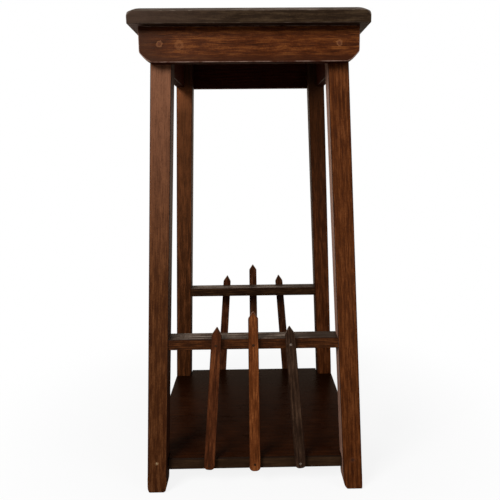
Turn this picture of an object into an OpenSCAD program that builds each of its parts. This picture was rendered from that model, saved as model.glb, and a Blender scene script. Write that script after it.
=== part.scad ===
// Small square plant table of splayed legs, with nailed aprons, a low shelf
// notched round the legs and fanned pickets at front and back.
// Origin: centre of the footprint on the floor. Front is -Y, up is +Z.

/* [Top] */
// Overall height of the table
table_h = 711; // [620:1:800]
// Width of the top, side to side
top_w = 325; // [300:1:400]
// Depth of the top, front to back
top_d = 324; // [300:1:400]
// Thickness of the top
top_t = 20; // [16:0.5:26]
// Bevel along the top's upper edges
top_bevel = 4; // [2:0.5:8]
// How far each upper corner of the top is rounded off, along its edges
corner_run = 23; // [12:1:25]
// Radius of that rounding
corner_round = 18; // [18:1:40]

/* [Legs] */
// Leg width, side to side
leg_w = 29.5; // [26:0.5:38]
// Leg depth, front to back
leg_d = 29; // [26:0.5:38]
// Distance between the outer side faces of the legs, under the top
legs_wide = 272; // [250:1:290]
// Distance between the outer front and back faces of the legs, under the top
legs_deep = 270; // [240:1:280]
// How far each foot stands out sideways beyond its upper end
splay_side = 33; // [10:0.5:45]
// How far each foot stands out to the front or back beyond its upper end
splay_face = 37; // [10:0.5:55]
// Rounding of the feet's inner edges
foot_round_in = 2.5; // [1:0.5:6]
// Rounding of the feet's outer edges
foot_round_out = 3; // [1:0.5:6]
// How far each foot's inner corner at front or back is knocked off, along its edges
foot_corner_run = 11; // [6:0.5:14]

/* [Aprons] */
// Height of all four aprons
apron_h = 48; // [36:1:60]
// Thickness of the front and back aprons
apron_t = 13.5; // [10:0.5:18]
// How far the front and back aprons run past the legs
apron_over = 14.5; // [6:0.5:20]
// Cut across the lower corners of the front and back aprons
apron_clip = 13.5; // [8:0.5:22]
// Rounding where that cut meets the edges
apron_round = 5; // [2:0.5:10]
// Thickness of the side aprons
rail_t = 13.5; // [10:0.5:18]
// Step from the legs' side faces to the side aprons
rail_reveal = 0.5; // [0.5:0.5:4]

/* [Shelf] */
// Height of the shelf's upper face above the floor
shelf_z = 51.5; // [44:0.5:120]
// Thickness of the shelf
shelf_t = 18.5; // [14:0.5:24]
// Step from the front legs' front faces to the shelf's front edge
shelf_front_step = 10; // [0:0.5:16]
// Step from the back legs' back faces to the shelf's back edge
shelf_back_step = 0; // [0:0.5:16]
// Bevel along the shelf's upper edges
shelf_bevel = 1; // [0.5:0.1:3]
// Gap beside each leg in its notch
notch_gap = 1; // [0.4:0.1:2]
// Gap between each leg and the end of its notch, which a nail closes up to
notch_seat = 0.3; // [0.2:0.05:0.6]

/* [Stretchers] */
// Height of the stretchers' upper faces above the floor
stretcher_z = 247.5; // [200:0.5:320]
// Thickness of the stretchers
stretcher_t = 16.5; // [14:0.5:22]
// Depth of the stretchers, front to back
stretcher_d = 28.5; // [26:0.5:34]
// Step from the legs' outer faces to the stretchers' outer faces
stretcher_step = 1.5; // [0:0.5:8]

/* [Pickets] */
// Width of a picket below its point
picket_w_top = 15; // [11:0.5:18]
// Width of a picket at its lower end
picket_w_low = 17.5; // [15:0.5:20]
// Thickness of the pickets
picket_t = 6; // [4:0.5:8]
// Height of the point on the centre pickets
point_centre = 11.5; // [7:0.5:16]
// Height of the point on the side pickets
point_side = 13; // [7:0.5:18]
// How far the centre picket's point rises above its stretcher
rise_centre = 44; // [30:1:60]
// How far the side pickets' points rise above their stretcher
rise_side = 21.5; // [18:0.5:40]
// Spacing of the pickets at the stretcher
spacing_top = 56; // [40:0.5:62]
// Spacing of the pickets at the shelf
spacing_low = 71.5; // [40:0.5:78]
// Rounding of the pickets' lower corners
picket_round = 7; // [1:0.5:7]
// Rounding of the shoulders below the pickets' points
shoulder_round = 5; // [0.5:0.5:5]
// Rounding of the pickets' tips
tip_round = 1; // [0.5:0.5:2]
// How far the centre pickets reach below the shelf
reach_centre = 2; // [0:0.5:6]
// How far the side pickets stop short of the shelf's underside
stop_side = 1.5; // [0:0.5:4]

/* [Joints] */
// Length of the stub tenons on side aprons and stretchers
tenon_l = 8; // [5:0.5:8.5]
// Shoulder round the tenons
shoulder = 4; // [2:0.5:4.5]
// Clearance round a tenon in its mortise
tenon_gap = 0.2; // [0.1:0.05:0.5]
// Diameter of the nails
nail_d = 2; // [1.5:0.1:2.6]
// Diameter of the nail heads
head_d = 4; // [3.4:0.1:5]
// Thickness of the nail heads
head_t = 1; // [0.6:0.1:1.4]
// Clearance round a nail in its hole
nail_gap = 0.1; // [0.05:0.05:0.2]
// How far the apron nails go into the legs
apron_nail_grip = 18; // [12:0.5:18.5]
// How far the nails of the top go into the legs
top_nail_grip = 26; // [18:1:40]
// How far the nails of the top stand outside the middle of the legs
top_nail_out = 6; // [4.5:0.5:8]
// How far the nails through the legs go into the shelf
shelf_nail_grip = 22; // [14:1:30]
// Slant of those nails, down from square to the leg, in degrees
shelf_nail_slant = 12; // [0:1:14]
// How far the picket nails go into stretcher and shelf
picket_nail_grip = 16; // [10:1:20]

/* [Hidden] */
$fn = 48;
// How far a hole's mouth is cut past the face that it starts from
past = 1;
// Underside of the top
under_z = table_h - top_t;
// Lean of the legs seen from the front and from the side
lean_side = atan(splay_side / under_z);
lean_face = atan(splay_face / under_z);
// Outer faces of the legs at the floor, from the centre
foot_x = legs_wide / 2 + splay_side;
foot_y = legs_deep / 2 + splay_face;
// Reach of the construction blocks
far = 2 * table_h;
// Lower edge of the aprons
apron_z = under_z - apron_h;
// Mid-height of stretchers and shelf
stretcher_mid = stretcher_z - stretcher_t / 2;
shelf_mid = shelf_z - shelf_t / 2;
// Outer faces of the stretchers and of the shelf's front and back edges, from the centre
stretcher_y = leg_y(stretcher_mid) - stretcher_step;
shelf_front_y = leg_y(shelf_mid) - shelf_front_step;
shelf_back_y = leg_y(shelf_mid) - shelf_back_step;
// Fan of the side pickets and slant of the planes that the pickets lie on
rise_mid = stretcher_mid - shelf_mid;
fan = atan((spacing_low - spacing_top) / rise_mid);
slant_front = atan((shelf_front_y - stretcher_y) / rise_mid);
slant_back = atan((shelf_back_y - stretcher_y) / rise_mid);

// One piece by its name, or "all"

// Outer faces of the legs at height z, from the centre
function leg_x(z) = foot_x - splay_side * z / under_z;
function leg_y(z) = foot_y - splay_face * z / under_z;

// Space between heights z0 and z1
module level(z0, z1) {
    translate([-far / 2, -far / 2, z0])
        cube([far, far, z1 - z0]);
}

// Space parallel to the left legs' outer faces, starting at a step in from them
module left_slab(step, t) {
    translate([step - foot_x, 0, 0])
        rotate([0, lean_side, 0])
            translate([0, -far / 2, -far / 2])
                cube([t * cos(lean_side), far, far]);
}

// Space parallel to the front legs' outer faces, starting at a step in from them
module front_slab(step, t) {
    translate([0, step - foot_y, 0])
        rotate([-lean_face, 0, 0])
            translate([-far / 2, 0, -far / 2])
                cube([far, t * cos(lean_face), far]);
}

// Space between the left and the right planes that lie a step inside the legs' faces
module between_sides(step) {
    intersection() {
        left_slab(step, far / 2);
        mirror([1, 0, 0])
            left_slab(step, far / 2);
    }
}

// Space between the front and the back planes that lie a step inside the legs' faces
module between_faces(step) {
    intersection() {
        front_slab(step, far / 2);
        mirror([0, 1, 0])
            front_slab(step, far / 2);
    }
}

// Puts its children on the front legs' outer plane: x sideways, y up the plane
// from the underside of the top, z outwards
module on_front_face() {
    translate([0, -leg_y(under_z), under_z])
        rotate([90 - lean_face, 0, 0])
            children();
}

// Puts its children on the plane under the pickets: x sideways, y up the plane
// from the middle of the shelf's edge, z outwards
module on_picket_plane(slant) {
    translate([0, -stretcher_y - rise_mid * tan(slant), shelf_mid])
        rotate([90 - slant, 0, 0])
            children();
}

// Everything on the inner side of the plane under the pickets
module inside_pickets(slant) {
    on_picket_plane(slant)
        translate([-far / 2, -far / 2, -far])
            cube([far, far, far]);
}

// Everything above the bevel along an upper edge: the edge lies at half, at height z,
// to the right, or to the back where turned
module above_bevel(half, z, bevel, turned) {
    rotate([0, 0, turned ? 90 : 0])
        translate([half - bevel, 0, z])
            rotate([0, 45, 0])
                translate([0, -far / 2, 0])
                    cube([far, far, far]);
}

// What a rounding takes off a block's upper corner at the origin, between its faces towards
// +X and +Y: it starts level, this run from the corner along both edges, and falls away
module beyond_corner_rounding(run, radius) {
    rotate([0, 0, 45])
        translate([-run / sqrt(2), 0, -radius])
            difference() {
                translate([0, -far / 2, 0])
                    cube([far, far, far]);
                rotate([90, 0, 0])
                    cylinder(r = radius, h = 2 * far, center = true);
            }
}

// Convex outline with each corner rounded: pts run counter-clockwise, radii one for each
module rounded(pts, radii) {
    n = len(pts);
    // Unit directions from each corner to the next and to the one before
    ahead = [for (i = [0:n - 1]) let (d = pts[(i + 1) % n] - pts[i]) d / norm(d)];
    back = [for (i = [0:n - 1]) let (d = pts[(i + n - 1) % n] - pts[i]) d / norm(d)];
    // Half of each corner's angle
    half = [for (i = [0:n - 1]) acos(ahead[i] * back[i]) / 2];
    polygon([for (i = [0:n - 1]) for (d = [back[i], ahead[i]])
        pts[i] + d * radii[i] / tan(half[i])]);
    for (i = [0:n - 1]) {
        if (radii[i] > 0)
            translate(pts[i] + (ahead[i] + back[i]) / norm(ahead[i] + back[i])
                * radii[i] / sin(half[i]))
                circle(r = radii[i]);
    }
}

// Nail along -Z with the face of its head at z = 0
module nail(l) {
    translate([0, 0, -head_t])
        cylinder(d = head_d, h = head_t);
    translate([0, 0, -l + nail_d])
        cylinder(d = nail_d, h = l - nail_d - head_t / 2);
    translate([0, 0, -l])
        cylinder(d1 = nail_d / 5, d2 = nail_d, h = nail_d);
}

// Hole for that nail, with its head's seat
module nail_hole(l) {
    translate([0, 0, -head_t])
        cylinder(d = head_d + 2 * nail_gap, h = head_t + past);
    translate([0, 0, -l - nail_gap])
        cylinder(d = nail_d + 2 * nail_gap, h = l + nail_gap);
}

// Copies to the four corners
module four() {
    for (side = [0, 1]) for (face = [0, 1])
        mirror([side, 0, 0])
            mirror([0, face, 0])
                children();
}

// Places of the nails at the front left corner
module at_top_nail() {
    translate([
        leg_w / 2 - leg_x(under_z) - top_nail_out,
        leg_d / 2 - leg_y(under_z),
        table_h
    ])
        children();
}

module at_apron_nail() {
    on_front_face()
        translate([leg_w / 2 - leg_x(under_z - apron_h / 2), -apron_h / 2, apron_t])
            children();
}

module at_shelf_nail() {
    on_front_face()
        translate([
            leg_w / 2 - leg_x(shelf_mid),
            leg_d * tan(shelf_nail_slant)
                - (under_z - shelf_mid - leg_d * sin(lean_face)) / cos(lean_face),
            0
        ])
            rotate([-shelf_nail_slant, 0, 0])
                children();
}

// Places of the picket nails for the picket at k = -1, 0 or 1
module at_picket_nails(slant, k) {
    on_picket_plane(slant) {
        translate([k * spacing_low, 0, picket_t])
            children();
        translate([k * spacing_top, rise_mid / cos(slant), picket_t])
            children();
    }
}

module top_nail_shape(hole) {
    if (hole) nail_hole(top_t + top_nail_grip);
    else nail(top_t + top_nail_grip);
}

module apron_nail_shape(hole) {
    if (hole) nail_hole(apron_t + apron_nail_grip);
    else nail(apron_t + apron_nail_grip);
}

module shelf_nail_shape(hole) {
    if (hole) nail_hole(leg_d / cos(shelf_nail_slant) + shelf_nail_grip);
    else nail(leg_d / cos(shelf_nail_slant) + shelf_nail_grip);
}

module picket_nail_shape(hole) {
    if (hole) nail_hole(picket_t + picket_nail_grip);
    else nail(picket_t + picket_nail_grip);
}

// Top: a square board with bevelled upper edges and its upper corners rounded off
module top_board() {
    color("#6b6058")
        difference() {
            translate([-top_w / 2, -top_d / 2, under_z])
                cube([top_w, top_d, top_t]);
            for (s = [0, 1]) {
                mirror([s, 0, 0])
                    above_bevel(top_w / 2, table_h, top_bevel, false);
                mirror([0, s, 0])
                    above_bevel(top_d / 2, table_h, top_bevel, true);
            }
            four() {
                translate([top_w / 2, top_d / 2, table_h])
                    beyond_corner_rounding(corner_run, corner_round);
                at_top_nail()
                    top_nail_shape(true);
            }
        }
}

// Board across two legs, at the front
module apron_board() {
    half = leg_x(under_z) + apron_over;
    low = -apron_h / cos(lean_face);
    difference() {
        intersection() {
            on_front_face()
                linear_extrude(apron_t)
                    rounded([
                        [-half, low + apron_clip], [-half + apron_clip, low],
                        [half - apron_clip, low], [half, low + apron_clip],
                        [half, apron_t], [-half, apron_t]
                    ], [apron_round, apron_round, apron_round, apron_round, 0, 0]);
            level(0, under_z);
        }
        for (s = [0, 1])
            mirror([s, 0, 0])
                at_apron_nail()
                    apron_nail_shape(true);
    }
}

module front_apron() {
    color("#8a5335")
        apron_board();
}

module back_apron() {
    color("#8a5335")
        mirror([0, 1, 0])
            apron_board();
}

// Tenons of the left apron, or the room for them in the legs
module rail_tenons(gap) {
    intersection() {
        left_slab(rail_reveal + shoulder - gap, rail_t - 2 * shoulder + 2 * gap);
        between_faces(leg_d - tenon_l - gap);
        level(apron_z + 2 * shoulder - gap, under_z - 2 * shoulder + gap);
    }
}

module left_apron() {
    color("#7c5a42")
        union() {
            intersection() {
                left_slab(rail_reveal, rail_t);
                between_faces(leg_d);
                level(apron_z, under_z);
            }
            rail_tenons(0);
        }
}

module right_apron() {
    mirror([1, 0, 0])
        left_apron();
}

// Tenons of the front stretcher, or the room for them in the legs
module stretcher_tenons(gap) {
    front = shoulder - stretcher_y;
    back = leg_d - leg_y(stretcher_mid) - shoulder;
    intersection() {
        between_sides(leg_w - tenon_l - gap);
        translate([-far / 2, front - gap, stretcher_z - stretcher_t + shoulder - gap])
            cube([far, back - front + 2 * gap, stretcher_t - 2 * shoulder + 2 * gap]);
    }
}

// Outline of a left leg from the front, and of a front leg from its left
module leg_outline(foot, top, thick) {
    rounded([[-foot, 0], [thick - foot, 0], [thick - top, under_z], [-top, under_z]],
        [foot_round_out, foot_round_in, 0, 0]);
}

// Leg at the front left, with its mortises and nail holes
module leg() {
    color("#865a3f")
        difference() {
            intersection() {
                rotate([90, 0, 0])
                    linear_extrude(far, center = true)
                        leg_outline(foot_x, legs_wide / 2, leg_w);
                rotate([90, 0, 90])
                    linear_extrude(far, center = true)
                        leg_outline(foot_y, legs_deep / 2, leg_d);
            }
            translate([leg_w - foot_x, -foot_y, 0])
                mirror([0, 1, 0])
                    mirror([0, 0, 1])
                        beyond_corner_rounding(foot_corner_run, 0.75 * foot_corner_run);
            rail_tenons(tenon_gap);
            stretcher_tenons(tenon_gap);
            at_top_nail()
                top_nail_shape(true);
            at_apron_nail()
                apron_nail_shape(true);
            at_shelf_nail()
                shelf_nail_shape(true);
        }
}

module front_left_leg() {
    leg();
}

module front_right_leg() {
    mirror([1, 0, 0])
        leg();
}

module back_left_leg() {
    mirror([0, 1, 0])
        leg();
}

module back_right_leg() {
    mirror([1, 0, 0])
        mirror([0, 1, 0])
            leg();
}

// Shelf, notched round the four legs
module shelf() {
    color("#5d5049")
        difference() {
            intersection() {
                translate([-leg_x(shelf_mid), -far / 2, shelf_z - shelf_t])
                    cube([2 * leg_x(shelf_mid), far, shelf_t]);
                inside_pickets(slant_front);
                mirror([0, 1, 0])
                    inside_pickets(slant_back);
            }
            for (s = [0, 1])
                mirror([s, 0, 0])
                    above_bevel(leg_x(shelf_mid), shelf_z, shelf_bevel, false);
            above_bevel(shelf_back_y - shelf_t / 2 * tan(slant_back), shelf_z, shelf_bevel, true);
            mirror([0, 1, 0])
                above_bevel(shelf_front_y - shelf_t / 2 * tan(slant_front), shelf_z,
                    shelf_bevel, true);
            four()
                intersection() {
                    left_slab(-leg_w, 2 * leg_w + notch_gap);
                    front_slab(-leg_d, 2 * leg_d + notch_seat);
                    level(0, stretcher_z);
                }
            four()
                at_shelf_nail()
                    shelf_nail_shape(true);
            for (k = [-1, 0, 1]) {
                at_picket_nails(slant_front, k)
                    picket_nail_shape(true);
                mirror([0, 1, 0])
                    at_picket_nails(slant_back, k)
                        picket_nail_shape(true);
            }
        }
}

// Lath between the two front legs, its outer face on the plane under the pickets
module stretcher(slant) {
    color("#7a5640")
        difference() {
            union() {
                intersection() {
                    between_sides(leg_w);
                    inside_pickets(slant);
                    translate([-far / 2, -far / 2, stretcher_z - stretcher_t])
                        cube([far, far / 2 - stretcher_y + stretcher_d, stretcher_t]);
                }
                stretcher_tenons(0);
            }
            for (k = [-1, 0, 1])
                at_picket_nails(slant, k)
                    picket_nail_shape(true);
        }
}

module front_stretcher() {
    stretcher(slant_front);
}

module back_stretcher() {
    mirror([0, 1, 0])
        stretcher(slant_back);
}

// Outline of a picket, from the middle of the shelf's edge upwards
module picket_outline(rise, point_h, reach) {
    low = -shelf_t / 2 - reach;
    tip = rise_mid + stretcher_t / 2 + rise;
    neck = tip - point_h;
    rounded([
        [-picket_w_low / 2, low], [picket_w_low / 2, low],
        [picket_w_top / 2, neck], [0, tip], [-picket_w_top / 2, neck]
    ], [picket_round, picket_round, shoulder_round, tip_round, shoulder_round]);
}

// Picket at k = -1, 0 or 1 on the front stretcher and shelf edge
module picket(slant, k) {
    color("#74503a")
        difference() {
            on_picket_plane(slant)
                linear_extrude(picket_t)
                    translate([k * spacing_low, 0])
                        rotate(k * fan)
                            picket_outline(k == 0 ? rise_centre : rise_side,
                                k == 0 ? point_centre : point_side,
                                k == 0 ? reach_centre : -stop_side);
            at_picket_nails(slant, k)
                picket_nail_shape(true);
        }
}

module front_left_picket() {
    picket(slant_front, -1);
}

module front_centre_picket() {
    picket(slant_front, 0);
}

module front_right_picket() {
    picket(slant_front, 1);
}

module back_left_picket() {
    mirror([0, 1, 0])
        picket(slant_back, -1);
}

module back_centre_picket() {
    mirror([0, 1, 0])
        picket(slant_back, 0);
}

module back_right_picket() {
    mirror([0, 1, 0])
        picket(slant_back, 1);
}

module top_nails() {
    color("#4a4744")
        four()
            at_top_nail()
                top_nail_shape(false);
}

module apron_nails() {
    color("#4a4744")
        four()
            at_apron_nail()
                apron_nail_shape(false);
}

module shelf_nails() {
    color("#4a4744")
        four()
            at_shelf_nail()
                shelf_nail_shape(false);
}

module picket_nails() {
    color("#4a4744")
        for (k = [-1, 0, 1]) {
            at_picket_nails(slant_front, k)
                picket_nail_shape(false);
            mirror([0, 1, 0])
                at_picket_nails(slant_back, k)
                    picket_nail_shape(false);
        }
}

top_board();
front_apron();
back_apron();
left_apron();
right_apron();
front_left_leg();
front_right_leg();
back_left_leg();
back_right_leg();
shelf();
front_stretcher();
back_stretcher();
front_left_picket();
front_centre_picket();
front_right_picket();
back_left_picket();
back_centre_picket();
back_right_picket();
top_nails();
apron_nails();
shelf_nails();
picket_nails();
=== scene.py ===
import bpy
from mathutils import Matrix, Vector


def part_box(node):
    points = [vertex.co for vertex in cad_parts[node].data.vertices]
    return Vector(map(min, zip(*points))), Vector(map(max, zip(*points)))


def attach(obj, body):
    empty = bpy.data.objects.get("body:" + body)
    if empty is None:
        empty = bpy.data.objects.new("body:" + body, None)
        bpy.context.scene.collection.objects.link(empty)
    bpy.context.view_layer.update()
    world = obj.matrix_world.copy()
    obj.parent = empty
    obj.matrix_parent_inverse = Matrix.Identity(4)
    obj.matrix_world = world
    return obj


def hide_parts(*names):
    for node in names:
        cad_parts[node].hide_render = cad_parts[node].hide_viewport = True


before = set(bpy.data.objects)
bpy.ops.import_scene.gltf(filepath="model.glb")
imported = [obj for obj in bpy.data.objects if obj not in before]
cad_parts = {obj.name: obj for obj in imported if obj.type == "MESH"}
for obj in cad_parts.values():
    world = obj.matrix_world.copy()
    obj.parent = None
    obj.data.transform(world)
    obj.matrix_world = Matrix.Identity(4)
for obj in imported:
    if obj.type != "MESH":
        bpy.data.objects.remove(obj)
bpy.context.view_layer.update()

from math import pi, radians

import bmesh
import bpy
import numpy as np
from mathutils import Matrix, Vector


# Legs. Four square bars of a close-grained hardwood, both ends cut level so that each bar
# splays to its side and to the front or back, arrises sanded, feet rounded off by wear,
# stained brown and varnished. An apron is nailed to each, and each is nailed to the shelf.

# How far a leg leans to its side and to the front or back, over its height
leg_splay = Vector((0.033, 0.037, 0.691))
leg_width = 0.0295
# Height of the rounded part of a foot
foot_height = 0.026


def linear(code):
    """Turns an sRGB hex colour into the linear colour that a shader takes."""
    parts = [int(code[i:i + 2], 16) / 255 for i in (0, 2, 4)]
    return [p / 12.92 if p <= 0.04045 else ((p + 0.055) / 1.055) ** 2.4 for p in parts] + [1]


def add(tree, kind, sockets={}, **settings):
    """Adds a node, makes its settings, and sets or links its sockets."""
    node = tree.nodes.new(kind)
    for key, value in settings.items():
        setattr(node, key, value)
    for key, value in sockets.items():
        if isinstance(value, bpy.types.NodeSocket):
            tree.links.new(value, node.inputs[key])
        else:
            node.inputs[key].default_value = value
    return node


def stained_wood(name, dark, body, light, grain, shift, ring=5.5, dull=0.38, varnish=0.18,
                 tint="ffdcc0", fibre=1.8, pitted=0.4, marks=(), colour_ramps=()):
    """Stained and varnished hardwood: growth rings, fibre streaks and open pores that run
    along the grain, blotches where the stain took unevenly, and a thin satin varnish that
    sinks into the pores and carries some of the stain. grain is the way in which the fibres
    run, shift is the place in the log that the piece was sawn from, and ring and fibre are
    widths, the last three in millimetres. dull is how rough the varnish is, varnish and tint
    are how much it mirrors and in what colour, and pitted is how deep the pores lie. marks
    are rings of another colour where a nail was filled or a knot drank less stain.
    colour_ramps are each an axis and the two places on it between which the colour goes over
    to another colour, with that colour; they hold changes of stain and painted light and shade."""
    material = bpy.data.materials.new(name)
    material.use_nodes = True
    tree = material.node_tree
    tree.nodes.clear()
    place = add(tree, "ShaderNodeTexCoord").outputs["Object"]
    # Millimetres, turned so that the grain runs along the third axis
    turn = Vector(grain).rotation_difference(Vector((0, 0, 1))).to_euler()
    bar = add(tree, "ShaderNodeMapping", {
        "Vector": place, "Location": shift, "Rotation": turn, "Scale": (1000, 1000, 1000)})

    def grown(across, along, detail):
        """Noise with features of this many millimetres across and along the grain."""
        stretched = add(tree, "ShaderNodeMapping", {
            "Vector": bar.outputs[0], "Scale": (1 / across, 1 / across, 1 / along)})
        return add(tree, "ShaderNodeTexNoise", {
            "Vector": stretched.outputs[0], "Scale": 1, "Detail": detail, "Roughness": 0.6})

    sway = grown(50, 420, 1)
    swayed = add(tree, "ShaderNodeVectorMath", {
        0: sway.outputs["Color"], 1: (26, 26, 0), 2: bar.outputs[0]}, operation="MULTIPLY_ADD")
    # One turn of the wave is 0.314 of its unit
    rings = add(tree, "ShaderNodeTexWave", {
        "Vector": swayed.outputs[0], "Scale": 0.314 / ring},
        wave_type="RINGS", rings_direction="Z")
    streaks = grown(fibre, fibre * 15, 3).outputs["Fac"]
    blotches = grown(13, 34, 4).outputs["Fac"]
    # Raised fibres and dust under the varnish
    grit = grown(1.2, 1.8, 2).outputs["Fac"]
    # Pores are finer than this in life, and are drawn as coarse as they need to show
    pores = add(tree, "ShaderNodeMapRange", {
        0: grown(0.9, 7, 2).outputs["Fac"], 1: 0.56, 2: 0.68}, interpolation_type="SMOOTHSTEP")

    # The streaks count most, and the other patterns by these weights
    tone = streaks
    for part, weight in ((rings.outputs["Fac"], 0.12), (blotches, 0.55), (grit, 0.4)):
        tone = add(tree, "ShaderNodeMath", {
            0: part, 1: weight, 2: tone}, operation="MULTIPLY_ADD").outputs[0]
    deep = add(tree, "ShaderNodeMapRange", {0: tone, 1: 0.79, 2: 1.07})
    pale = add(tree, "ShaderNodeMapRange", {0: tone, 1: 1.03, 2: 1.35})
    colour = add(tree, "ShaderNodeMix", {
        0: deep.outputs[0], 6: linear(dark), 7: linear(body)}, data_type="RGBA")
    colour = add(tree, "ShaderNodeMix", {
        0: pale.outputs[0], 6: colour.outputs[2], 7: linear(light)}, data_type="RGBA")
    # A change of colour is ragged and spares the dark fibres. Some ramps are changes of stain,
    # others are painted light and painted shade.
    for axis, start, end, ramp_colour in colour_ramps:
        reach = add(tree, "ShaderNodeSeparateXYZ", {0: place}).outputs[axis]
        ramp_share = add(tree, "ShaderNodeMapRange", {0: reach, 1: start, 2: end, 3: 0, 4: 0.85})
        ragged = add(tree, "ShaderNodeMapRange", {0: deep.outputs[0], 3: 0.6, 4: 1.0})
        worn = add(tree, "ShaderNodeMath", {
            0: ramp_share.outputs[0], 1: ragged.outputs[0]}, operation="MULTIPLY")
        colour = add(tree, "ShaderNodeMix", {
            0: worn.outputs[0], 6: colour.outputs[2], 7: linear(ramp_colour)}, data_type="RGBA")
    # A mark is a ragged rim with a fainter patch inside it
    for centre, radius, filler, share in marks:
        away = add(tree, "ShaderNodeVectorMath", {0: place, 1: centre}, operation="DISTANCE")
        ragged = add(tree, "ShaderNodeTexNoise", {
            "Vector": place, "Scale": 420, "Detail": 2, "Roughness": 0.6})
        ragged = add(tree, "ShaderNodeMath", {
            0: ragged.outputs["Fac"], 1: radius * 1.6, 2: away.outputs["Value"]},
            operation="MULTIPLY_ADD")
        rim = add(tree, "ShaderNodeMath", {
            0: ragged.outputs[0], 1: radius * 1.8, 2: radius * 0.35}, operation="COMPARE")
        inside = add(tree, "ShaderNodeMath", {
            0: ragged.outputs[0], 1: radius * 1.7}, operation="LESS_THAN")
        patch = add(tree, "ShaderNodeMath", {
            0: inside.outputs[0], 1: 0.4, 2: rim.outputs[0]}, operation="MULTIPLY_ADD",
            use_clamp=True)
        patch = add(tree, "ShaderNodeMath", {0: patch.outputs[0], 1: share},
                    operation="MULTIPLY")
        colour = add(tree, "ShaderNodeMix", {
            0: patch.outputs[0], 6: colour.outputs[2], 7: linear(filler)}, data_type="RGBA")
    ticks = add(tree, "ShaderNodeMath", {0: pores.outputs[0], 1: pitted}, operation="MULTIPLY")
    colour = add(tree, "ShaderNodeMix", {
        0: ticks.outputs[0], 6: colour.outputs[2], 7: linear(dark)}, data_type="RGBA")

    rough = add(tree, "ShaderNodeMapRange", {
        0: blotches, 1: 0.3, 2: 0.7, 3: dull - 0.05, 4: dull + 0.08})
    relief = add(tree, "ShaderNodeMath", {
        0: pores.outputs[0], 1: -1.5 * pitted, 2: streaks}, operation="MULTIPLY_ADD")
    bump = add(tree, "ShaderNodeBump", {
        "Strength": 0.25, "Distance": 0.0003, "Height": relief.outputs[0]})
    shader = add(tree, "ShaderNodeBsdfPrincipled", {
        "Base Color": colour.outputs[2], "Roughness": rough.outputs[0], "IOR": 1.5,
        "Specular IOR Level": varnish, "Specular Tint": linear(tint),
        "Normal": bump.outputs[0]})
    add(tree, "ShaderNodeOutputMaterial", {"Surface": shader.outputs[0]})
    return material


def rubbed_edge(name, stained, bare, wear):
    """Sanded arris on which the stain lies dark, and where hands and brooms have thinned it
    in patches of a centimetre or two. wear is the share of the arris that is rubbed."""
    material = bpy.data.materials.new(name)
    material.use_nodes = True
    tree = material.node_tree
    tree.nodes.clear()
    place = add(tree, "ShaderNodeTexCoord").outputs["Object"]
    patches = add(tree, "ShaderNodeTexNoise", {
        "Vector": place, "Scale": 55, "Detail": 4, "Roughness": 0.65})
    # The noise lies mostly between 0.28 and 0.72, so wear runs from none to the whole arris
    start = 0.72 - 0.44 * wear
    worn = add(tree, "ShaderNodeMapRange", {
        0: patches.outputs["Fac"], 1: start, 2: start + 0.2})
    colour = add(tree, "ShaderNodeMix", {
        0: worn.outputs[0], 6: linear(stained), 7: linear(bare)}, data_type="RGBA")
    rough = add(tree, "ShaderNodeMapRange", {0: patches.outputs["Fac"], 3: 0.35, 4: 0.55})
    shader = add(tree, "ShaderNodeBsdfPrincipled", {
        "Base Color": colour.outputs[2], "Roughness": rough.outputs[0],
        "IOR": 1.5, "Specular IOR Level": 0.12})
    add(tree, "ShaderNodeOutputMaterial", {"Surface": shader.outputs[0]})
    return material


def nail_lines(node):
    """Middle of the head and outward direction of each nail of one CAD node. Each nail is a
    solid of its own, long in one direction and widest at its head."""
    solid = bmesh.new()
    solid.from_mesh(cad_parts[node].data)
    bmesh.ops.remove_doubles(solid, verts=solid.verts, dist=1e-6)
    left = set(solid.verts)
    lines = []
    while left:
        nail, edge = [], [left.pop()]
        while edge:
            vert = edge.pop()
            nail.append(vert.co.copy())
            for link in vert.link_edges:
                other = link.other_vert(vert)
                if other in left:
                    left.remove(other)
                    edge.append(other)
        points = np.array(nail)
        middle = points.mean(0)
        axis = np.linalg.svd(points - middle)[2][0]
        reach = (points - middle) @ axis
        spread = np.linalg.norm(points - middle - np.outer(reach, axis), axis=1)
        if reach[spread.argmax()] < 0:
            axis, reach = -axis, -reach
        lines.append((Vector(middle + axis * reach.max()), Vector(axis)))
    solid.free()
    return sorted(lines, key=lambda line: tuple(round(c, 4) for c in line[0]))


nails = {node: nail_lines(node)
         for node in ("apron_nails", "shelf_nails", "picket_nails", "top_nails")}


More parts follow.
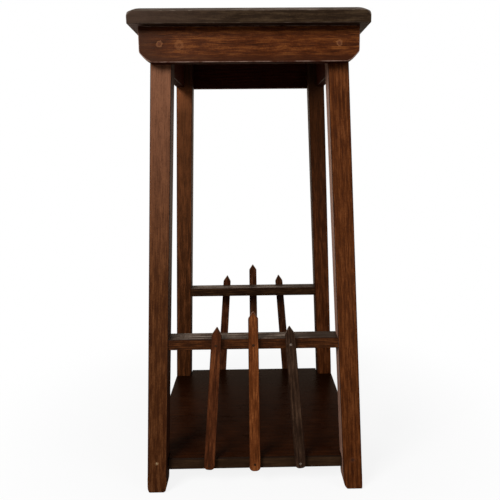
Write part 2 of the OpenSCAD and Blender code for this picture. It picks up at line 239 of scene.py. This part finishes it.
def eased(node, wood, edge, width, others=(), wear=None, tenons=(0, 1)):
    """Copy of a CAD solid with its sharp outer arrises sanded to this width, apart from the
    feet, which are rounded already, and the nail holes. others holds the finish of the faces
    that look in one direction and were finished apart, and wear moves points of the mesh.
    tenons is the axis and the place on it beyond which a piece is hidden in the legs."""
    mesh = bpy.data.meshes.new(node + "_eased")
    solid = bmesh.new()
    solid.from_mesh(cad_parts[node].data)
    bmesh.ops.remove_doubles(solid, verts=solid.verts, dist=3e-5)
    bmesh.ops.dissolve_degenerate(solid, edges=solid.edges, dist=3e-5)
    bmesh.ops.dissolve_limit(
        solid, angle_limit=radians(0.3), verts=solid.verts, edges=solid.edges)
    if wear:
        wear(solid)
    # The wood and its arrises are the first two materials
    for place, (direction, finish) in enumerate(others, 2):
        for face in solid.faces:
            if face.normal.dot(Vector(direction)) > 0.8:
                face.material_index = place
    drilled = [line for lines in nails.values() for line in lines]
    # Edges nearer than this to the line of a nail belong to its hole
    hole_margin = 0.0032

    def sharp(arris):
        """Whether this edge of the solid is an outer arris that hands reach."""
        if len(arris.link_faces) != 2 or not arris.is_convex:
            return False
        middle = (arris.verts[0].co + arris.verts[1].co) / 2
        axis, shoulder = tenons
        return (arris.calc_face_angle() >= radians(28)
                and middle.z > foot_height and abs(middle[axis]) < shoulder
                and all((middle - head).cross(way).length > hole_margin
                        for head, way in drilled))

    bmesh.ops.bevel(
        solid, geom=[arris for arris in solid.edges if sharp(arris)], offset=width,
        segments=2, profile=0.5, affect="EDGES", material=1, clamp_overlap=not wear)
    bmesh.ops.remove_doubles(solid, verts=solid.verts, dist=1e-5)
    bmesh.ops.dissolve_degenerate(solid, edges=solid.edges, dist=1e-5)
    solid.to_mesh(mesh)
    solid.free()
    for finish in (wood, edge, *(finish for direction, finish in others)):
        mesh.materials.append(finish)
    mesh.shade_smooth()
    mesh.set_sharp_from_angle(angle=radians(50))
    piece = bpy.data.objects.new(node + "_board", mesh)
    bpy.context.scene.collection.objects.link(piece)
    # Weighted normals keep the broad faces flat beside their rounded arrises
    piece.modifiers.new("flat_faces", "WEIGHTED_NORMAL").keep_sharp = True
    piece.data = bpy.data.meshes.new_from_object(
        piece.evaluated_get(bpy.context.evaluated_depsgraph_get()))
    piece.modifiers.clear()
    bpy.data.meshes.remove(mesh)
    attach(piece, "root")
    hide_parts(node)
    return piece


def worn_foot(outer_wear, inner_wear):
    """Rounds the lower corners of a foot, on which the table is pushed about. Each wear is
    the width lost at the floor and how fast the loss ends above it."""
    # Height at which the wear ends, and how far out a foot reaches on the floor
    worn_height = 0.024
    floor_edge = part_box("front_right_leg")[1].x

    def wear(solid):
        # Rings round the foot, closer together towards the floor, where the curve is tighter
        for height in (0.0004, 0.001, 0.002, 0.0035, 0.0055, 0.008, 0.012, 0.018, foot_height):
            bmesh.ops.bisect_plane(
                solid, geom=[*solid.verts, *solid.edges, *solid.faces],
                plane_co=(0, 0, height), plane_no=(0, 0, 1))
        for vert in solid.verts:
            if vert.co.z < worn_height:
                left = 1 - vert.co.z / worn_height
                side = 1 if vert.co.x > 0 else -1
                outer = floor_edge - leg_splay.x * vert.co.z / leg_splay.z
                inner = outer - leg_width
                outer -= outer_wear[0] * left ** outer_wear[1]
                inner += inner_wear[0] * left ** inner_wear[1]
                vert.co.x = side * max(inner, min(outer, abs(vert.co.x)))
    return wear


leg_edge = rubbed_edge("rubbed_leg_arris", "2a140a", "7a4e34", 0.12)
# Dark, body and light colour of the stain, the place in the log, and how the colour changes
# with height. The front left leg gets paler upwards. The back legs get lighter upwards, then
# carry painted shade close under the top, the back left one a painted light band below it.
leg_finishes = {
    "front_left_leg": (
        "36190a", "4d2912", "704426", (31, -62, 0), [("Z", 0.33, 0.66, "865840")]),
    "front_right_leg": ("381909", "552a0f", "784422", (-44, 71, 240), []),
    "back_left_leg": (
        "2c1508", "45240f", "6d3e21", (58, 38, 510),
        # The second ramp is a band of painted light, the third painted shade close under the
        # top
        [("Z", 0.30, 0.75, "6e3f22"), ("Z", 0.595, 0.632, "8c5230"),
         ("Z", 0.637, 0.647, "0c0401")]),
    "back_right_leg": (
        "301406", "4a240d", "703e1f", (-29, 83, 820),
        # The second ramp is painted shade close under the top
        [("Z", 0.45, 0.75, "66391c"), ("Z", 0.590, 0.650, "120602")]),
}
# The faces towards the middle are duller. Three of the legs carry painted shade there,
# and the front right one a pale painted reflection of the backdrop.
painted_shade_inside = ("1e0c04", "2c1408", "40200f")
inner_finishes = {
    "front_left_leg": painted_shade_inside,
    # Pale painted reflection of the backdrop
    "front_right_leg": ("765444", "967060", "ac8874"),
    "back_left_leg": painted_shade_inside,
    "back_right_leg": painted_shade_inside,
}
# Round the lower nails of the front legs the stain is rubbed pale, or has gone dull
nail_marks = {
    "front_left_leg": (0.0024, "8a5c38", 0.35),
    "front_right_leg": (0.0036, "5a3320", 0.5),
}
left_foot = worn_foot((0.0047, 6), (0.0028, 4.5))
right_foot = worn_foot((0.0010, 6), (0.0075, 4))
for node, (dark, body, light, shift, colour_ramps) in leg_finishes.items():
    low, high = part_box(node)
    inward = 1 if low.x < 0 else -1
    face = 1 if low.y < 0 else -1
    grain = (leg_splay.x * inward, leg_splay.y * face, leg_splay.z)
    marks = [(head, *nail_marks[node]) for head, way in nails["shelf_nails"]
             if node in nail_marks and head.x * inward < 0 and head.y * face < 0]
    wood = stained_wood(
        node + "_stained_hardwood", dark, body, light, grain, shift, colour_ramps=colour_ramps, marks=marks)
    inner = stained_wood(
        node + "_inner_face", *inner_finishes[node], grain, shift, dull=0.55, varnish=0.08)
    eased(node, wood, leg_edge, 0.0009, [((inward, 0, 0), inner)],
          left_foot if inward > 0 else right_foot)


# Side aprons. Two rails of the same wood between the front and back legs, set half a
# millimetre behind the legs' outer faces and held by stub tenons. They are seen only past
# the legs.

# Wood with almost no varnish to mirror light, painted nearly black as the shade inside the
# frame and under the rails
inner_face = stained_wood(
    "unvarnished_painted_shade_face", "280c04", "3a1508", "4a1e0e", (1, 0, 0), (5, 9, 70), dull=0.7,
    varnish=0.03)
for node, shift, inward in (("left_apron", (20, -50, 90), 1),
                            ("right_apron", (-35, 64, 400), -1)):
    wood = stained_wood(
        node + "_stained_hardwood", "2c1408", "40200f", "5a3018", (0, 1, 0), shift)
    eased(node, wood, leg_edge, 0.0008,
          [((inward, 0, 0), inner_face), ((0, 0, -1), inner_face)], tenons=(1, 0.104))


# Stretchers. Two flat laths of the same wood let into the legs with stub tenons. Their upper
# faces are duller and carry a painted grey reflection, and the pickets are nailed to their
# outer faces.

# Painted grey reflection of the backdrop in long patches, darker towards the right leg
painted_reflection_top = stained_wood(
    "stretcher_top_painted_reflection", "1a100a", "46362b", "a49486", (1, 0, 0), (31, 8, 200), ring=4,
    fibre=3.5, dull=0.5, varnish=0.15, colour_ramps=[("X", 0.05, 0.09, "1f0f06")])
for node, dark, body, light, shift in (
        ("front_stretcher", "210e05", "3c1d0b", "683c1d", (17, 44, 130)),
        ("back_stretcher", "120904", "27150a", "4a321a", (-52, 36, 610))):
    wood = stained_wood(
        node + "_stained_hardwood", dark, body, light, (1, 0, 0), shift, ring=4)
    eased(node, wood, leg_edge, 0.0008, [((0, 0, 1), painted_reflection_top)],
          tenons=(0, 0.126))


# Front and back aprons. Boards of a redder wood across the faces of the legs, their lower
# corners cut off, fixed with one nail into each leg, with pale filler round its head.

def worn_corners(face):
    """Turns the cut corners of an apron into curves that run out into its lower edge."""
    low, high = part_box("front_apron")
    # The corner as it was sawn, how far along the edge the curve runs, how round it is, in
    # how many steps, and how near to the corner a point has to lie
    cut, run, curve, steps, near = 0.0135, 0.0185, 1.75, 12, 0.001

    def wear(solid):
        for place in [side * (high.x - run * step / steps) for side in (1, -1)
                      for step in range(1, steps + 1)]:
            # Only the lower outline is split, and the broad faces stay whole
            outline = [line for line in solid.edges
                       if max(vert.co.z for vert in line.verts) < low.z + cut * 1.2]
            rim = [plane for plane in solid.faces
                   if all(line in outline for line in plane.edges)]
            bmesh.ops.bisect_plane(
                solid, geom=[*solid.verts, *outline, *rim],
                plane_co=(place, 0, 0), plane_no=(1, 0, 0))
        for vert in solid.verts:
            inward = high.x - abs(vert.co.x)
            if vert.co.z < low.z + cut + near and inward < run:
                rise = cut * (1 - max(0, inward) / run) ** curve - max(0, cut - inward)
                vert.co.z += rise
                vert.co.y -= face * rise * leg_splay.y / leg_splay.z
    return wear


# The pale arris is partly rubbed and partly a painted highlight where it catches the light
apron_edge = rubbed_edge("apron_arris_rubbed_and_painted_highlight", "5a3222", "a08070", 0.75)
for node, face, shift in (("front_apron", -1, (42, -33, 0)), ("back_apron", 1, (-23, 58, 350))):
    marks = [(head, 0.0032, "94603c", 0.42) for head, way in nails["apron_nails"]
             if head.y * face > 0]
    # A knot beside the left leg drank less stain than the wood round it
    marks.append((Vector((-0.0955, 0.151 * face, 0.6665)), 0.0046, "8a5632", 0.32))
    wood = stained_wood(
        node + "_red_stained_hardwood", "2d1205", "52260d", "7c471e", (1, 0, 0), shift, ring=7,
        fibre=1.4, marks=marks,
        colour_ramps=[("X", -0.100, -0.150, "2a1005"), ("Z", 0.656, 0.646, "30150a")])
    # Inner faces and undersides take the painted shade
    eased(node, wood, apron_edge, 0.0011,
          [((0, -face, 0), inner_face), ((0, 0, -1), inner_face)], worn_corners(face))


# Shelf. A plain board with its corners sawn out to fit round the legs, fixed by one nail
# through each leg. Its dark varnish is smoother than elsewhere and mirrors the legs.

shelf_wood = stained_wood(
    "dark_stained_shelf_board", "1e0b02", "280f04", "361a08", (1, 0, 0), (35, 90, 20),
    ring=9, dull=0.30, varnish=0.03, tint="ffba88", pitted=0.1,
    colour_ramps=[("Y", 0.02, 0.12, "120601")])
shelf_side = stained_wood(
    "stained_shelf_edge", "271910", "302014", "422e1e", (1, 0, 0), (-12, 40, 330), ring=9,
    varnish=0.10)
shelf_edge = rubbed_edge("rubbed_shelf_arris", "1d0f06", "3c2415", 0.2)
eased("shelf", shelf_wood, shelf_edge, 0.0007,
      [((0, -1, 0), shelf_side), ((0, 1, 0), shelf_side)])


# Pickets. Six thin laths with pointed tops, three at the front and three at the back,
# nailed to the stretcher and to the edge of the shelf so that they fan out downwards.

picket_finishes = {
    "front_left_picket": ("33180a", "512814", "7d4726", (12, -22, 0)),
    "front_centre_picket": ("48230b", "6c3718", "9b5c30", (-15, 31, 120)),
    "front_right_picket": ("1f130d", "342319", "594232", (24, 18, 330)),
    "back_left_picket": ("291308", "411f10", "643d24", (-31, 25, 470)),
    "back_centre_picket": ("2a160a", "452311", "694228", (19, 37, 690)),
    "back_right_picket": ("231108", "391d0f", "5b3923", (-27, -16, 850)),
}
picket_edge = rubbed_edge("picket_arris", "24120a", "4a2c1c", 0.1)
# How far a side picket leans towards the middle of the table, for each unit of its height
picket_lean = 0.0725
for node, (dark, body, light, shift) in picket_finishes.items():
    low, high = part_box(node)
    lean = 0 if "centre" in node else (-1 if low.x > 0 else 1) * picket_lean
    wood = stained_wood(
        node + "_stained_hardwood", dark, body, light, (lean, 0, 1), shift, ring=3.5)
    eased(node, wood, picket_edge, 0.0006)


# Top. One wide board with bevelled upper edges and its corners knocked back, darker than the
# aprons, its stain gone grey from standing in the light under wet pots.

# Paler and greyer towards the left end, a painted sheen
top_wood = stained_wood(
    "grey_stained_top_board", "180f08", "2b1e13", "493928", (1, 0, 0), (60, -110, 0), ring=8,
    dull=0.42, fibre=1.4, colour_ramps=[("X", -0.02, -0.16, "3c2c24")])
# The bevels are rubbed pale and also carry a painted highlight from the light above
top_chamfer = stained_wood(
    "top_chamfer_rubbed_and_painted_highlight", "3e342c", "5c5048", "7d7269", (1, 0, 0), (11, -60, 510), ring=8,
    dull=0.42, fibre=1.4)
# Painted pale reflection on the underside where it shows past the left end of the apron
top_under = stained_wood(
    "dull_top_underside", "2a1e18", "3c2c24", "54402f", (1, 0, 0), (60, -110, 0), ring=8,
    dull=0.6, varnish=0.10, colour_ramps=[("X", -0.140, -0.152, "94786e")])
# The arrises are rubbed pale in places and also carry a painted highlight
top_edge = rubbed_edge("top_arris_rubbed_and_painted_highlight", "44362b", "75665a", 0.5)
# The four bevels look outwards and up
bevels = [(0.7, 0, 0.7), (-0.7, 0, 0.7), (0, 0.7, 0.7), (0, -0.7, 0.7)]
eased("top_board", top_wood, top_edge, 0.0010,
      [(bevel, top_chamfer) for bevel in bevels] + [((0, 0, -1), top_under)])


# Nails. Plain wire nails through aprons, legs, pickets and top, driven flush by hand, so that
# each head sits at its own slight tilt. Some heads are stained over, others rubbed bright and
# given a painted glint.

def worn_steel(name, stained, rubbed):
    """Drawn steel wire, its head stained over with the wood and rubbed bright in places, where
    its pale colour is also a painted glint.
    """
    material = bpy.data.materials.new(name)
    material.use_nodes = True
    tree = material.node_tree
    tree.nodes.clear()
    place = add(tree, "ShaderNodeTexCoord").outputs["Object"]
    rub = add(tree, "ShaderNodeAttribute", attribute_name="rub").outputs["Fac"]
    scratches = add(tree, "ShaderNodeTexNoise", {
        "Vector": place, "Scale": 2400, "Detail": 3, "Roughness": 0.7})
    bright = add(tree, "ShaderNodeMath", {
        0: rub, 1: 0.35, 2: scratches.outputs["Fac"]}, operation="MULTIPLY_ADD")
    bare = add(tree, "ShaderNodeMapRange", {0: bright.outputs[0], 1: 0.78, 2: 0.92})
    shine = add(tree, "ShaderNodeMath", {0: bare.outputs[0], 1: 0.3}, operation="MULTIPLY")
    colour = add(tree, "ShaderNodeMix", {
        0: bare.outputs[0], 6: linear(stained), 7: linear(rubbed)}, data_type="RGBA")
    rough = add(tree, "ShaderNodeMapRange", {0: scratches.outputs["Fac"], 3: 0.40, 4: 0.60})
    shader = add(tree, "ShaderNodeBsdfPrincipled", {
        "Base Color": colour.outputs[2], "Metallic": shine.outputs[0],
        "Roughness": rough.outputs[0], "Specular IOR Level": 0.15})
    add(tree, "ShaderNodeOutputMaterial", {"Surface": shader.outputs[0]})
    return material


def nail_tree():
    """Geometry Nodes: a crowned head and a shank on every point, along the point's way."""
    tree = bpy.data.node_groups.new("driven_nails", "GeometryNodeTree")
    tree.interface.new_socket("Points", in_out="INPUT", socket_type="NodeSocketGeometry")
    for name in ("Head radius", "Head thickness", "Crown", "Shank radius", "Shank length"):
        tree.interface.new_socket(name, in_out="INPUT", socket_type="NodeSocketFloat")
    tree.interface.new_socket("Seed", in_out="INPUT", socket_type="NodeSocketInt")
    tree.interface.new_socket("Steel", in_out="INPUT", socket_type="NodeSocketMaterial")
    tree.interface.new_socket("Nails", in_out="OUTPUT", socket_type="NodeSocketGeometry")
    given = add(tree, "NodeGroupInput").outputs
    # The head is a ball pressed flat, low above its rim and as deep as the head below it
    ball = add(tree, "GeometryNodeMeshUVSphere", {
        "Segments": 24, "Rings": 12, "Radius": given["Head radius"]})
    spot = add(tree, "GeometryNodeInputPosition").outputs[0]
    axes = add(tree, "ShaderNodeSeparateXYZ", {0: spot}).outputs
    share = add(tree, "ShaderNodeMath", {
        0: axes["Z"], 1: given["Head radius"]}, operation="DIVIDE").outputs[0]
    above = add(tree, "ShaderNodeMath", {0: share, 1: 0}, operation="MAXIMUM").outputs[0]
    below = add(tree, "ShaderNodeMath", {0: share, 1: 0}, operation="MINIMUM").outputs[0]
    crown = add(tree, "ShaderNodeMath", {
        0: above, 1: given["Crown"]}, operation="MULTIPLY").outputs[0]
    height = add(tree, "ShaderNodeMath", {
        0: below, 1: given["Head thickness"], 2: crown}, operation="MULTIPLY_ADD").outputs[0]
    pressed = add(tree, "ShaderNodeCombineXYZ", {
        "X": axes["X"], "Y": axes["Y"], "Z": height}).outputs[0]
    head = add(tree, "GeometryNodeSetPosition", {
        "Geometry": ball.outputs["Mesh"], "Position": pressed})
    shank = add(tree, "GeometryNodeMeshCylinder", {
        "Vertices": 16, "Radius": given["Shank radius"], "Depth": given["Shank length"]})
    # The shank hangs from inside the head
    middle = add(tree, "ShaderNodeMath", {
        0: given["Shank length"], 1: -0.5, 2: -0.0004}, operation="MULTIPLY_ADD").outputs[0]
    sunk = add(tree, "ShaderNodeCombineXYZ", {"Z": middle}).outputs[0]
    shank = add(tree, "GeometryNodeTransform", {
        "Geometry": shank.outputs["Mesh"], "Translation": sunk})
    nail = add(tree, "GeometryNodeJoinGeometry")
    tree.links.new(head.outputs[0], nail.inputs[0])
    tree.links.new(shank.outputs[0], nail.inputs[0])
    smooth = add(tree, "GeometryNodeSetShadeSmooth", {"Geometry": nail.outputs[0]})
    way = add(tree, "GeometryNodeInputNamedAttribute", {"Name": "way"},
              data_type="FLOAT_VECTOR").outputs[0]
    straight = add(tree, "FunctionNodeAlignRotationToVector", {"Vector": way}, axis="Z")
    tilt = add(tree, "FunctionNodeRandomValue", {
        0: (-0.03, -0.03, 0), 1: (0.03, 0.03, 2 * pi), "Seed": given["Seed"]},
        data_type="FLOAT_VECTOR").outputs[0]
    turn = add(tree, "FunctionNodeRotateRotation", {
        0: straight.outputs[0], 1: tilt}, rotation_space="LOCAL")
    placed = add(tree, "GeometryNodeInstanceOnPoints", {
        "Points": given["Points"], "Instance": smooth.outputs[0], "Rotation": turn.outputs[0]})
    real = add(tree, "GeometryNodeRealizeInstances", {"Geometry": placed.outputs[0]})
    steeled = add(tree, "GeometryNodeSetMaterial", {
        "Geometry": real.outputs[0], "Material": given["Steel"]})
    add(tree, "NodeGroupOutput", {0: steeled.outputs[0]})
    return tree


driven = nail_tree()
crown = 0.00025
nail_sizes = {"Head radius": 0.002, "Head thickness": 0.0009, "Crown": crown,
              "Shank radius": 0.00095}
for node, length, stained, rubbed, seed in (
        ("apron_nails", 0.030, "5a2e17", "b8a48c", 3),
        ("shelf_nails", 0.049, "3a2012", "c0a078", 11),
        ("picket_nails", 0.020, "38200f", "aa9c90", 5),
        ("top_nails", 0.044, "33261d", "b8a48c", 8)):
    points = bpy.data.meshes.new(node + "_points")
    # The top of the crown is level with the wood
    points.from_pydata([head - way * crown for head, way in nails[node]], [], [])
    points.attributes.new("way", "FLOAT_VECTOR", "POINT").data.foreach_set(
        "vector", [c for head, way in nails[node] for c in way])
    # Bright heads, rubbed and with a painted glint: those of the front right picket and of the
    # front left leg
    points.attributes.new("rub", "FLOAT", "POINT").data.foreach_set("value", [
        head.y < 0 and (node == "picket_nails" and head.x > 0.02
                        or node == "shelf_nails" and head.x < 0) for head, way in nails[node]])
    carrier = bpy.data.objects.new(node + "_carrier", points)
    bpy.context.scene.collection.objects.link(carrier)
    modifier = carrier.modifiers.new("nails", "NODES")
    modifier.node_group = driven
    steel = worn_steel("steel_of_" + node, stained, rubbed)
    values = dict(nail_sizes, **{"Shank length": length, "Seed": seed, "Steel": steel})
    for item in driven.interface.items_tree:
        if item.name in values:
            modifier[item.identifier] = values[item.name]
    bpy.context.view_layer.update()
    made = bpy.data.meshes.new_from_object(
        carrier.evaluated_get(bpy.context.evaluated_depsgraph_get()))
    carrier.modifiers.clear()
    bpy.data.objects.remove(carrier)
    piece = bpy.data.objects.new(node + "_driven", made)
    bpy.context.scene.collection.objects.link(piece)
    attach(piece, "root")
    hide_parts(node)


# Studio. A pale floor that keeps a soft shadow, a white backdrop a little taller than the
# table in a dim room, and two large soft lamps high on both sides of the camera, the left
# one stronger.

# The brown varnish warms what it mirrors
mirror_tint = (1.0, 0.80, 0.63, 1)


def pale_floor():
    """Matt paper that bounces little light into the table. To the camera it is white and
    keeps the shadow near the table. In the varnish it is dim near the table, and further
    out it blends into the backdrop."""
    material = bpy.data.materials.new("matt_white_paper")
    material.use_nodes = True
    tree = material.node_tree
    tree.nodes.clear()
    place = add(tree, "ShaderNodeTexCoord").outputs["Object"]
    ray = add(tree, "ShaderNodeLightPath").outputs
    away = add(tree, "ShaderNodeVectorMath", {0: place}, operation="LENGTH").outputs["Value"]
    far = add(tree, "ShaderNodeMapRange", {
        0: away, 1: 0.18, 2: 0.65, 3: 0.87, 4: 1.0}, interpolation_type="SMOOTHSTEP")
    shown = add(tree, "ShaderNodeMath", {
        0: ray["Is Camera Ray"], 1: far.outputs[0]}, operation="MULTIPLY")
    share = add(tree, "ShaderNodeMath", {
        0: ray["Is Glossy Ray"], 1: shown.outputs[0]}, operation="MAXIMUM")
    mirrored = add(tree, "ShaderNodeMapRange", {
        0: away, 1: 0.5, 2: 1.4, 3: 0.12, 4: 1.0}, interpolation_type="SMOOTHSTEP")
    strength = add(tree, "ShaderNodeMix", {
        0: ray["Is Glossy Ray"], 2: 1.0, 3: mirrored.outputs[0]}, data_type="FLOAT")
    tone = add(tree, "ShaderNodeMix", {
        0: ray["Is Camera Ray"], 6: (0.22, 0.22, 0.22, 1), 7: (0.9, 0.9, 0.9, 1)},
        data_type="RGBA")
    paper = add(tree, "ShaderNodeBsdfDiffuse", {"Color": tone.outputs[2]})
    tint = add(tree, "ShaderNodeMix", {
        0: ray["Is Glossy Ray"], 6: (1, 1, 1, 1), 7: mirror_tint}, data_type="RGBA")
    glow = add(tree, "ShaderNodeEmission", {
        "Color": tint.outputs[2], "Strength": strength.outputs[0]})
    surface = add(tree, "ShaderNodeMixShader", {
        0: share.outputs[0], 1: paper.outputs[0], 2: glow.outputs[0]})
    add(tree, "ShaderNodeOutputMaterial", {"Surface": surface.outputs[0]})
    return material


floor_mesh = bpy.data.meshes.new("studio_floor")
floor_mesh.from_pydata(
    [(-9, -9, 0), (9, -9, 0), (9, 9, 0), (-9, 9, 0)], [], [(0, 1, 2, 3)])
floor_mesh.materials.append(pale_floor())
studio_floor = bpy.data.objects.new("studio_floor", floor_mesh)
bpy.context.scene.collection.objects.link(studio_floor)

world = bpy.data.worlds.new("pale_surround")
bpy.context.scene.world = world
world.use_nodes = True
surround = world.node_tree
surround.nodes.clear()
ray = add(surround, "ShaderNodeLightPath").outputs
# The backdrop is white behind the table and up to a little above it, and the room is dim
way = add(surround, "ShaderNodeTexCoord").outputs["Generated"]
axes = add(surround, "ShaderNodeSeparateXYZ", {0: way}).outputs
behind = add(surround, "ShaderNodeMapRange", {
    0: axes["Y"], 1: -0.45, 2: 0.30, 3: 0.12, 4: 1.0}, interpolation_type="SMOOTHSTEP")
below = add(surround, "ShaderNodeMapRange", {
    0: axes["Z"], 1: 0.34, 2: 0.48, 3: 1.0, 4: 0.10}, interpolation_type="SMOOTHSTEP")
backdrop = add(surround, "ShaderNodeMath", {
    0: behind.outputs[0], 1: below.outputs[0]}, operation="MULTIPLY")
seen = add(surround, "ShaderNodeMath", {
    0: ray["Is Camera Ray"], 1: ray["Is Transmission Ray"]}, operation="MAXIMUM")
level = add(surround, "ShaderNodeMix", {
    0: ray["Is Glossy Ray"], 2: 0.15, 3: backdrop.outputs[0]}, data_type="FLOAT")
level = add(surround, "ShaderNodeMath", {
    0: level.outputs[0], 1: seen.outputs[0]}, operation="MAXIMUM")
tint = add(surround, "ShaderNodeMix", {
    0: ray["Is Glossy Ray"], 6: (1, 1, 1, 1), 7: mirror_tint}, data_type="RGBA")
sky = add(surround, "ShaderNodeBackground", {
    "Color": tint.outputs[2], "Strength": level.outputs[0]})
add(surround, "ShaderNodeOutputWorld", {"Surface": sky.outputs[0]})


def soft_lamp(name, spot, target, size, power):
    """Square soft box at a spot, turned to a target."""
    data = bpy.data.lights.new(name, "AREA")
    data.shape = "SQUARE"
    data.size = size
    data.energy = power
    lamp = bpy.data.objects.new(name, data)
    lamp.matrix_world = Matrix.Translation(spot) @ (
        Vector(target) - Vector(spot)).to_track_quat("-Z", "Y").to_matrix().to_4x4()
    bpy.context.scene.collection.objects.link(lamp)


soft_lamp("left_soft_box", (-1.5, -1.9, 2.1), (0, 0, 0.4), 1.2, 75)
soft_lamp("right_soft_box", (1.8, -1.6, 1.7), (0, 0, 0.4), 1.2, 18)


# Camera. Set up straight in front of the table and well below its top, and turned down to
# look at the middle of its height.

# The photograph's width, its focal length and the column of its optical axis, in pixels
photo_width = 500
photo_focal = 501.95
photo_centre = 260.99
camera_place = (0.00176, -0.87269, 0.52296)
# Degrees to the right, down from the horizontal, and clockwise
camera_turn, camera_fall, camera_roll = 0.88, 11.05, 0.56
camera_data = bpy.data.cameras.new("photo_camera")
camera_data.sensor_fit = "HORIZONTAL"
camera_data.sensor_width = 36
camera_data.lens = photo_focal / photo_width * camera_data.sensor_width
camera_data.shift_x = (photo_width / 2 - photo_centre) / photo_width
camera_data.clip_start = 0.01
camera = bpy.data.objects.new("photo_camera", camera_data)
camera.matrix_world = (
    Matrix.Translation(camera_place)
    @ Matrix.Rotation(radians(-camera_turn), 4, "Z")
    @ Matrix.Rotation(radians(90 - camera_fall), 4, "X")
    @ Matrix.Rotation(radians(-camera_roll), 4, "Z"))
bpy.context.scene.collection.objects.link(camera)
bpy.context.scene.camera = camera
bpy.context.scene.view_settings.view_transform = "Standard"
